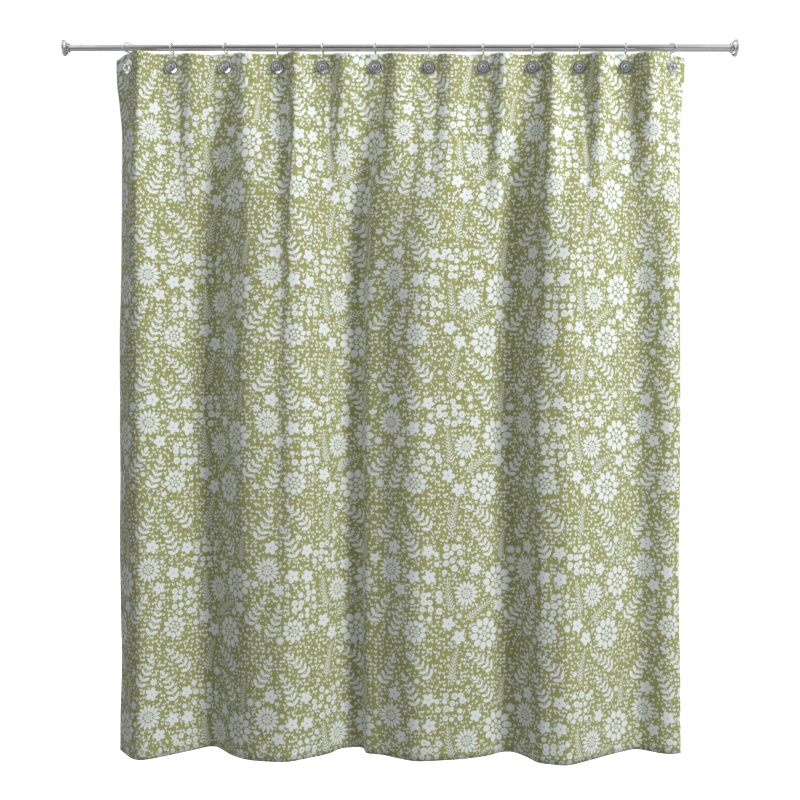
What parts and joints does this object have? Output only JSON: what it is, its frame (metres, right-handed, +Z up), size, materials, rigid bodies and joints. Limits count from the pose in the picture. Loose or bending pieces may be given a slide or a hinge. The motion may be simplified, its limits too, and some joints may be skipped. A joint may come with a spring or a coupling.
{
  "type": "shower curtain",
  "caption": "Printed fabric shower curtain with metal eyelets, hung by wire button hooks from a chrome tension rod between two round wall flanges.",
  "frame": {"origin": "middle of the left wall pad's outer face, on the rod's axis", "axes": "+X along the rod to the right wall, +Z up, -Y towards the room, which sees the cloth's printed face"},
  "size_m": [1.81, 0.148, 1.9189],
  "materials": {
    "printed_cloth": null,
    "rod_chrome": "polished chrome",
    "hook_chrome": "polished chrome",
    "eyelet_steel": "bright nickel",
    "spindle_steel": "plain steel thread",
    "pad_rubber": "soft pale rubber",
    "bush_plastic": "moulded plastic"
  },
  "bodies": {
    "rod": {"rod_tube": "rod_chrome", "left_flange": "rod_chrome", "left_collar": "rod_chrome", "left_wall_pad": "pad_rubber", "spindle_bush": "bush_plastic"},
    "tension_nut": {"tension_nut": "rod_chrome"},
    "right_end": {"tension_spindle": "spindle_steel", "right_flange": "rod_chrome", "right_wall_pad": "pad_rubber"},
    "hanger_01": {"hook_01": "hook_chrome", "button_01": "hook_chrome", "eyelet_front_01": "eyelet_steel", "eyelet_back_01": "eyelet_steel", "curtain_panel": "printed_cloth"},
    "hanger_02": {"hook_02": "hook_chrome", "button_02": "hook_chrome", "eyelet_front_02": "eyelet_steel", "eyelet_back_02": "eyelet_steel"},
    "hanger_03": {"hook_03": "hook_chrome", "button_03": "hook_chrome", "eyelet_front_03": "eyelet_steel", "eyelet_back_03": "eyelet_steel"},
    "hanger_04": {"hook_04": "hook_chrome", "button_04": "hook_chrome", "eyelet_front_04": "eyelet_steel", "eyelet_back_04": "eyelet_steel"},
    "hanger_05": {"hook_05": "hook_chrome", "button_05": "hook_chrome", "eyelet_front_05": "eyelet_steel", "eyelet_back_05": "eyelet_steel"},
    "hanger_06": {"hook_06": "hook_chrome", "button_06": "hook_chrome", "eyelet_front_06": "eyelet_steel", "eyelet_back_06": "eyelet_steel"},
    "hanger_07": {"hook_07": "hook_chrome", "button_07": "hook_chrome", "eyelet_front_07": "eyelet_steel", "eyelet_back_07": "eyelet_steel"},
    "hanger_08": {"hook_08": "hook_chrome", "button_08": "hook_chrome", "eyelet_front_08": "eyelet_steel", "eyelet_back_08": "eyelet_steel"},
    "hanger_09": {"hook_09": "hook_chrome", "button_09": "hook_chrome", "eyelet_front_09": "eyelet_steel", "eyelet_back_09": "eyelet_steel"},
    "hanger_10": {"hook_10": "hook_chrome", "button_10": "hook_chrome", "eyelet_front_10": "eyelet_steel", "eyelet_back_10": "eyelet_steel"},
    "hanger_11": {"hook_11": "hook_chrome", "button_11": "hook_chrome", "eyelet_front_11": "eyelet_steel", "eyelet_back_11": "eyelet_steel"},
    "hanger_12": {"hook_12": "hook_chrome", "button_12": "hook_chrome", "eyelet_front_12": "eyelet_steel", "eyelet_back_12": "eyelet_steel"}
  },
  "joints": [
    {"name": "tension_nut_turn", "type": "hinge", "parent": "rod", "child": "tension_nut", "pos_m": [1.7967, 0, 0], "axis": [1, 0, 0], "range_deg": [0, 3600]},
    {"name": "right_end_slide", "type": "slide", "parent": "rod", "child": "right_end", "axis": [1, 0, 0], "range_m": [0, 0.02]},
    {"name": "curtain_shift", "type": "slide", "parent": "rod", "child": "hanger_01", "axis": [1, 0, 0], "range_m": [-0.09, 0.09]},
    {"name": "hook_02_slide", "type": "slide", "parent": "hanger_01", "child": "hanger_02", "axis": [1, 0, 0], "range_m": [-0.0739, 0]},
    {"name": "hook_03_slide", "type": "slide", "parent": "hanger_01", "child": "hanger_03", "axis": [1, 0, 0], "range_m": [-0.1657, 0]},
    {"name": "hook_04_slide", "type": "slide", "parent": "hanger_01", "child": "hanger_04", "axis": [1, 0, 0], "range_m": [-0.2544, 0]},
    {"name": "hook_05_slide", "type": "slide", "parent": "hanger_01", "child": "hanger_05", "axis": [1, 0, 0], "range_m": [-0.3328, 0]},
    {"name": "hook_06_slide", "type": "slide", "parent": "hanger_01", "child": "hanger_06", "axis": [1, 0, 0], "range_m": [-0.4228, 0]},
    {"name": "hook_07_slide", "type": "slide", "parent": "hanger_01", "child": "hanger_07", "axis": [1, 0, 0], "range_m": [-0.5146, 0]},
    {"name": "hook_08_slide", "type": "slide", "parent": "hanger_01", "child": "hanger_08", "axis": [1, 0, 0], "range_m": [-0.6084, 0]},
    {"name": "hook_09_slide", "type": "slide", "parent": "hanger_01", "child": "hanger_09", "axis": [1, 0, 0], "range_m": [-0.6932, 0]},
    {"name": "hook_10_slide", "type": "slide", "parent": "hanger_01", "child": "hanger_10", "axis": [1, 0, 0], "range_m": [-0.7736, 0]},
    {"name": "hook_11_slide", "type": "slide", "parent": "hanger_01", "child": "hanger_11", "axis": [1, 0, 0], "range_m": [-0.8527, 0]},
    {"name": "curtain_draw", "type": "slide", "parent": "hanger_01", "child": "hanger_12", "axis": [1, 0, 0], "range_m": [-0.93, 0], "deforming": ["curtain_panel"]}
  ],
  "couplings": [
    {"joint": "tension_nut_turn", "follows": "right_end_slide", "rad_per_m": 3141.6},
    {"joint": "hook_02_slide", "follows": "curtain_draw", "ratio": 0.078875},
    {"joint": "hook_03_slide", "follows": "curtain_draw", "ratio": 0.17764},
    {"joint": "hook_04_slide", "follows": "curtain_draw", "ratio": 0.27298},
    {"joint": "hook_05_slide", "follows": "curtain_draw", "ratio": 0.35734},
    {"joint": "hook_06_slide", "follows": "curtain_draw", "ratio": 0.45405},
    {"joint": "hook_07_slide", "follows": "curtain_draw", "ratio": 0.55281},
    {"joint": "hook_08_slide", "follows": "curtain_draw", "ratio": 0.65363},
    {"joint": "hook_09_slide", "follows": "curtain_draw", "ratio": 0.74486},
    {"joint": "hook_10_slide", "follows": "curtain_draw", "ratio": 0.83128},
    {"joint": "hook_11_slide", "follows": "curtain_draw", "ratio": 0.91632}
  ]
}
